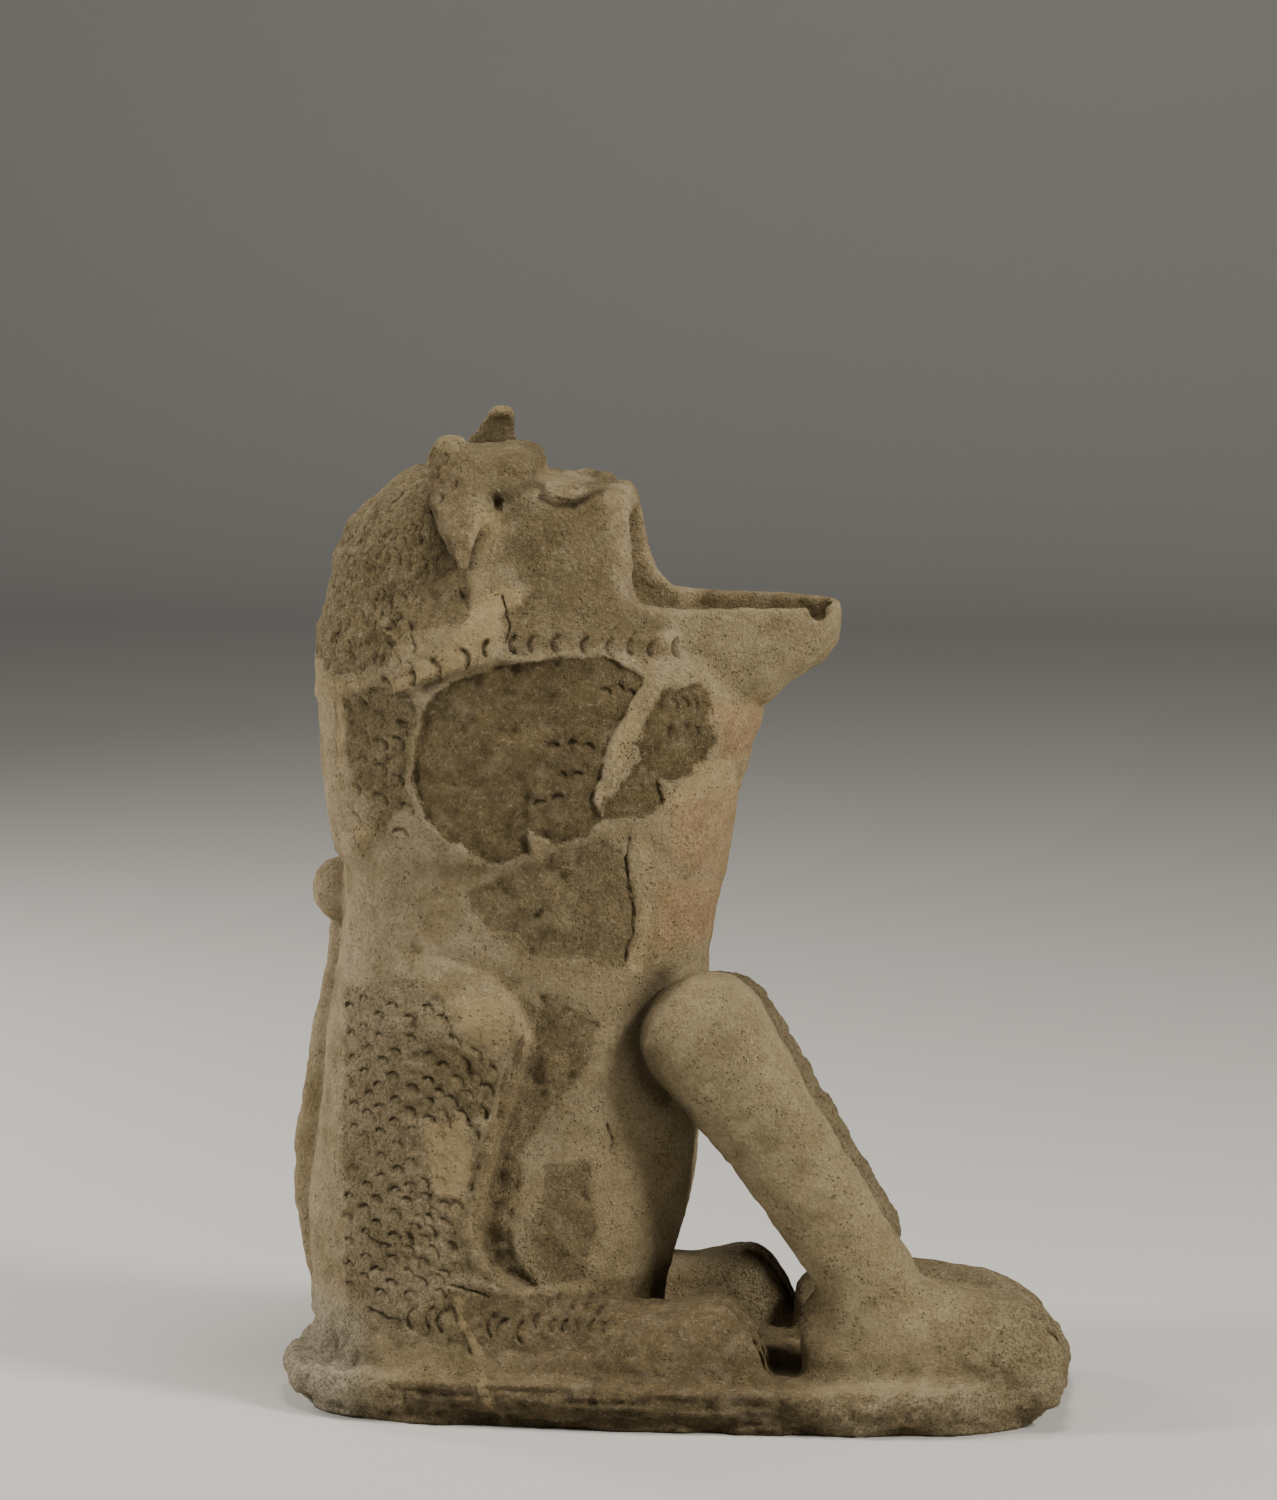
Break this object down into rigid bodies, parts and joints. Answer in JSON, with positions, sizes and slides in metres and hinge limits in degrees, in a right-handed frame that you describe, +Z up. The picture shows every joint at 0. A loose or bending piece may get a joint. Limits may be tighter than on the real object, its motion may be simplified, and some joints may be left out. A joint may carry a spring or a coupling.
{
  "type": "seated lion statue",
  "caption": "Fired clay guardian lion sitting up on its haunches on a low plinth, head thrown back and jaws wide open, with a stamped mane and a tail laid up its spine.",
  "frame": {"origin": "on the ground under the middle of the plinth", "axes": "+X the way the lion faces, +Y its left side, +Z up"},
  "size_m": [0.6358, 0.3178, 0.7952],
  "materials": {
    "fired_clay": "matte"
  },
  "bodies": {
    "root": {"seated_lion": "fired_clay"}
  },
  "joints": []
}
